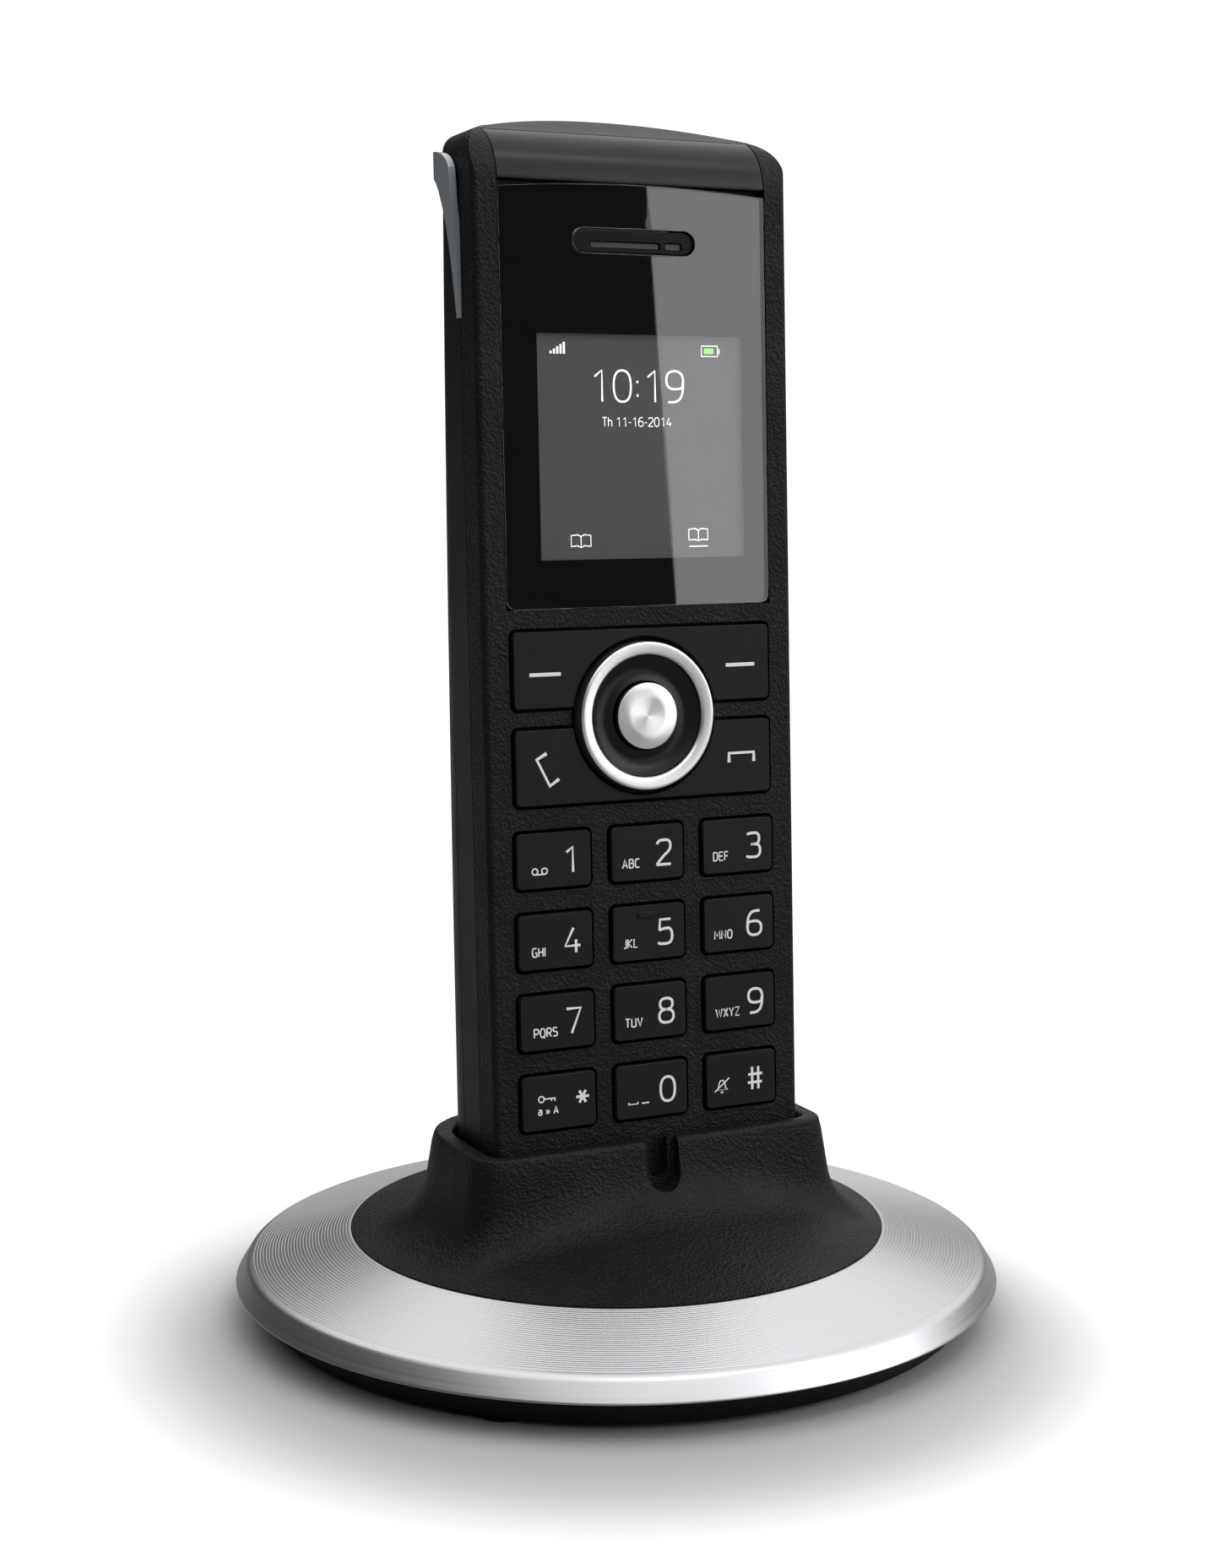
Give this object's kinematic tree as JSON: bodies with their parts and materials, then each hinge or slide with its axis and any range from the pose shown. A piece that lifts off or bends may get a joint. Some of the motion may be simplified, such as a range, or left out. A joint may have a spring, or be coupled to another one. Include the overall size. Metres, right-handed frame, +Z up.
{
  "type": "cordless phone with charging cradle",
  "caption": "Slim cordless telephone handset with display, round navigation key and keypad, standing in a round charging cradle with a metal trim ring.",
  "frame": {"origin": "centre of the round cradle on the surface it stands on", "axes": "+Z up, the keypad faces -Y, +X is the keypad's right-hand side; the handset leans back 2.5 degrees towards +Y"},
  "size_m": [0.1102, 0.1102, 0.1687],
  "materials": {
    "textured_black": "fine moulded grain, matt",
    "smooth_black": "smooth satin",
    "cap_grey": "smooth semi-gloss dark grey",
    "window_black": "polished black window",
    "screen": "dark grey display",
    "spun_aluminium": "fine concentric turning lines",
    "ok_metal": "circular brushed",
    "chrome_ring": "polished plated ring",
    "dish_black": "black dish with radial sheen",
    "clip_grey": "silver-grey painted plastic",
    "foot_rubber": "matt rubber",
    "silicone": "moulded silicone",
    "circuit_board": "green solder mask",
    "gold_contact": "gold-plated contact",
    "steel": "plain steel",
    "battery_wrap": "shrink wrap"
  },
  "bodies": {
    "cradle": {"cradle_housing": "textured_black", "cradle_trim_ring": "spun_aluminium", "cradle_bottom_cover": "smooth_black", "charging_board": "circuit_board", "dc_inlet": "smooth_black", "cradle_foot_1": "foot_rubber", "cradle_foot_2": "foot_rubber", "cradle_foot_3": "foot_rubber", "cradle_foot_4": "foot_rubber", "cradle_screw_1": "steel", "cradle_screw_2": "steel", "cradle_screw_3": "steel"},
    "contact_pin_left": {"contact_pin_left": "gold_contact"},
    "contact_pin_right": {"contact_pin_right": "gold_contact"},
    "handset": {"front_shell": "textured_black", "top_cap": "cap_grey", "rear_shell": "smooth_black", "display_window": "window_black", "display_module": "screen", "earpiece_trim": "smooth_black", "status_lens": "silicone", "earpiece_speaker": "steel", "keypad_mat": "silicone", "main_board": "circuit_board", "microphone": "steel", "loudspeaker": "steel", "battery_pack": "battery_wrap", "charge_pad_left": "gold_contact", "charge_pad_right": "gold_contact", "shell_screw_left": "steel", "shell_screw_right": "steel", "belt_clip_frame": "clip_grey"},
    "key_1": {"key_1": "smooth_black"},
    "key_2": {"key_2": "smooth_black"},
    "key_3": {"key_3": "smooth_black"},
    "key_4": {"key_4": "smooth_black"},
    "key_5": {"key_5": "smooth_black"},
    "key_6": {"key_6": "smooth_black"},
    "key_7": {"key_7": "smooth_black"},
    "key_8": {"key_8": "smooth_black"},
    "key_9": {"key_9": "smooth_black"},
    "key_star": {"key_star": "smooth_black"},
    "key_0": {"key_0": "smooth_black"},
    "key_hash": {"key_hash": "smooth_black"},
    "soft_key_bar": {"soft_key_bar": "smooth_black"},
    "call_key_bar": {"call_key_bar": "smooth_black"},
    "nav_gimbal": {"nav_gimbal": "smooth_black"},
    "nav_rocker": {"nav_ring": "chrome_ring", "nav_dish": "dish_black"},
    "ok_button": {"ok_button": "ok_metal"},
    "battery_door": {"battery_door": "smooth_black"},
    "belt_clip_tongue": {"belt_clip_tongue": "clip_grey"}
  },
  "joints": [
    {"name": "handset_lift", "type": "slide", "parent": "cradle", "child": "handset", "axis": [0, 0.0436, 0.999], "range_m": [0, 0.06]},
    {"name": "contact_left_press", "type": "slide", "parent": "cradle", "child": "contact_pin_left", "axis": [0, 0, -1], "range_m": [0, 0.0008], "stiffness_N_per_m": 300, "springref_m": -0.0008},
    {"name": "contact_right_press", "type": "slide", "parent": "cradle", "child": "contact_pin_right", "axis": [0, 0, -1], "range_m": [0, 0.0008], "stiffness_N_per_m": 300, "springref_m": -0.0008},
    {"name": "key_1_press", "type": "slide", "parent": "handset", "child": "key_1", "axis": [0, 0.999, -0.0436], "range_m": [0, 0.0005], "stiffness_N_per_m": 300, "springref_m": -0.0005},
    {"name": "key_2_press", "type": "slide", "parent": "handset", "child": "key_2", "axis": [0, 0.999, -0.0436], "range_m": [0, 0.0005], "stiffness_N_per_m": 300, "springref_m": -0.0005},
    {"name": "key_3_press", "type": "slide", "parent": "handset", "child": "key_3", "axis": [0, 0.999, -0.0436], "range_m": [0, 0.0005], "stiffness_N_per_m": 300, "springref_m": -0.0005},
    {"name": "key_4_press", "type": "slide", "parent": "handset", "child": "key_4", "axis": [0, 0.999, -0.0436], "range_m": [0, 0.0005], "stiffness_N_per_m": 300, "springref_m": -0.0005},
    {"name": "key_5_press", "type": "slide", "parent": "handset", "child": "key_5", "axis": [0, 0.999, -0.0436], "range_m": [0, 0.0005], "stiffness_N_per_m": 300, "springref_m": -0.0005},
    {"name": "key_6_press", "type": "slide", "parent": "handset", "child": "key_6", "axis": [0, 0.999, -0.0436], "range_m": [0, 0.0005], "stiffness_N_per_m": 300, "springref_m": -0.0005},
    {"name": "key_7_press", "type": "slide", "parent": "handset", "child": "key_7", "axis": [0, 0.999, -0.0436], "range_m": [0, 0.0005], "stiffness_N_per_m": 300, "springref_m": -0.0005},
    {"name": "key_8_press", "type": "slide", "parent": "handset", "child": "key_8", "axis": [0, 0.999, -0.0436], "range_m": [0, 0.0005], "stiffness_N_per_m": 300, "springref_m": -0.0005},
    {"name": "key_9_press", "type": "slide", "parent": "handset", "child": "key_9", "axis": [0, 0.999, -0.0436], "range_m": [0, 0.0005], "stiffness_N_per_m": 300, "springref_m": -0.0005},
    {"name": "key_star_press", "type": "slide", "parent": "handset", "child": "key_star", "axis": [0, 0.999, -0.0436], "range_m": [0, 0.0005], "stiffness_N_per_m": 300, "springref_m": -0.0005},
    {"name": "key_0_press", "type": "slide", "parent": "handset", "child": "key_0", "axis": [0, 0.999, -0.0436], "range_m": [0, 0.0005], "stiffness_N_per_m": 300, "springref_m": -0.0005},
    {"name": "key_hash_press", "type": "slide", "parent": "handset", "child": "key_hash", "axis": [0, 0.999, -0.0436], "range_m": [0, 0.0005], "stiffness_N_per_m": 300, "springref_m": -0.0005},
    {"name": "soft_key_bar_rock", "type": "hinge", "parent": "handset", "child": "soft_key_bar", "pos_m": [0, -0.00668, 0.09348], "axis": [0, 0.0436, 0.999], "range_deg": [-1.5, 1.5], "stiffness_Nm_per_rad": 0.3},
    {"name": "call_key_bar_rock", "type": "hinge", "parent": "handset", "child": "call_key_bar", "pos_m": [0, -0.00726, 0.08019], "axis": [0, 0.0436, 0.999], "range_deg": [-1.5, 1.5], "stiffness_Nm_per_rad": 0.3},
    {"name": "nav_tilt_up_down", "type": "hinge", "parent": "handset", "child": "nav_gimbal", "pos_m": [0, -0.00663, 0.08659], "axis": [1, 0, 0], "range_deg": [-2.5, 2.5], "stiffness_Nm_per_rad": 0.1},
    {"name": "nav_tilt_left_right", "type": "hinge", "parent": "nav_gimbal", "child": "nav_rocker", "pos_m": [0, -0.00663, 0.08659], "axis": [0, 0.0436, 0.999], "range_deg": [-2.5, 2.5], "stiffness_Nm_per_rad": 0.1},
    {"name": "ok_press", "type": "slide", "parent": "nav_rocker", "child": "ok_button", "axis": [0, 0.999, -0.0436], "range_m": [0, 0.0004], "stiffness_N_per_m": 300, "springref_m": -0.0005},
    {"name": "battery_door_slide", "type": "slide", "parent": "handset", "child": "battery_door", "axis": [0, -0.0436, -0.999], "range_m": [0, 0.003]},
    {"name": "belt_clip_flex", "type": "hinge", "parent": "handset", "child": "belt_clip_tongue", "pos_m": [0, 0.01269, 0.16125], "axis": [1, 0, 0], "range_deg": [0, 8], "stiffness_Nm_per_rad": 1, "springref_deg": -2.86}
  ]
}
